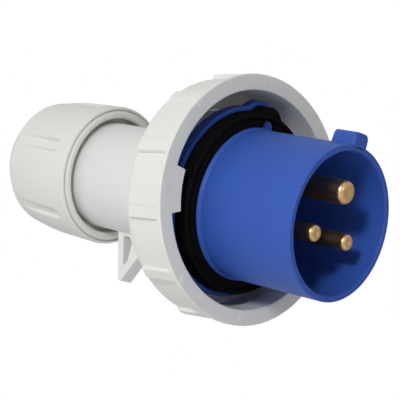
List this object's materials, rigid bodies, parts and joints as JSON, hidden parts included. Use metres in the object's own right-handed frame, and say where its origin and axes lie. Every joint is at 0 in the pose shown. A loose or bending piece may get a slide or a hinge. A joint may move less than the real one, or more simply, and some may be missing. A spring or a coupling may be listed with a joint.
{
  "type": "industrial pin and sleeve plug",
  "caption": "Watertight industrial plug: round pins in a keyed sleeve, gasket, bayonet ring and a tapered housing with a cord gland nut.",
  "frame": {"origin": "centre of the shroud's front rim, on the plug's axis", "axes": "+X along the plug's axis, out of the shroud towards the socket; +Z through the key"},
  "size_m": [0.124, 0.073, 0.073],
  "materials": {
    "housing_plastic": "light grey moulded plastic, fine satin",
    "ring_plastic": "light grey moulded plastic, fine satin",
    "nut_plastic": "off-white moulded plastic, fine satin",
    "blue_plastic": "blue moulded plastic, satin",
    "gasket_rubber": "black rubber",
    "seal_rubber": "black rubber",
    "pin_brass": "turned brass, slightly dull",
    "screw_steel": "zinc plated steel",
    "inner_plastic": "black moulded plastic",
    "claw_plastic": "grey moulded plastic"
  },
  "bodies": {
    "housing": {"rear_housing": "housing_plastic", "shroud": "blue_plastic", "pin_carrier": "blue_plastic", "flange_gasket": "gasket_rubber", "housing_o_ring": "seal_rubber", "gland_seal": "seal_rubber", "gland_claw": "claw_plastic", "pin_retainer": "inner_plastic", "earth_pin": "pin_brass", "earth_wire_plate": "screw_steel", "earth_terminal_screw": "screw_steel", "line_pin": "pin_brass", "line_wire_plate": "screw_steel", "line_terminal_screw": "screw_steel", "neutral_pin": "pin_brass", "neutral_wire_plate": "screw_steel", "neutral_terminal_screw": "screw_steel", "retainer_screw_1": "screw_steel", "retainer_screw_2": "screw_steel", "retainer_screw_3": "screw_steel"},
    "ring": {"bayonet_ring": "ring_plastic"},
    "clamp": {"clamp_ring": "claw_plastic"},
    "nut": {"gland_nut": "nut_plastic"}
  },
  "joints": [
    {"name": "ring_turn", "type": "hinge", "parent": "housing", "child": "ring", "pos_m": [-0.0474, 0, 0], "axis": [0.9925, -0.0862, 0.0862], "range_deg": [-50, 60]},
    {"name": "nut_travel", "type": "slide", "parent": "housing", "child": "clamp", "axis": [-1, 0, 0], "range_m": [0, 0.00401]},
    {"name": "nut_turn", "type": "hinge", "parent": "clamp", "child": "nut", "pos_m": [-0.11, 0, 0], "axis": [-1, 0, 0], "range_deg": [0, 720]}
  ],
  "couplings": [
    {"joint": "nut_travel", "follows": "nut_turn", "m_per_rad": 0.00031831}
  ]
}
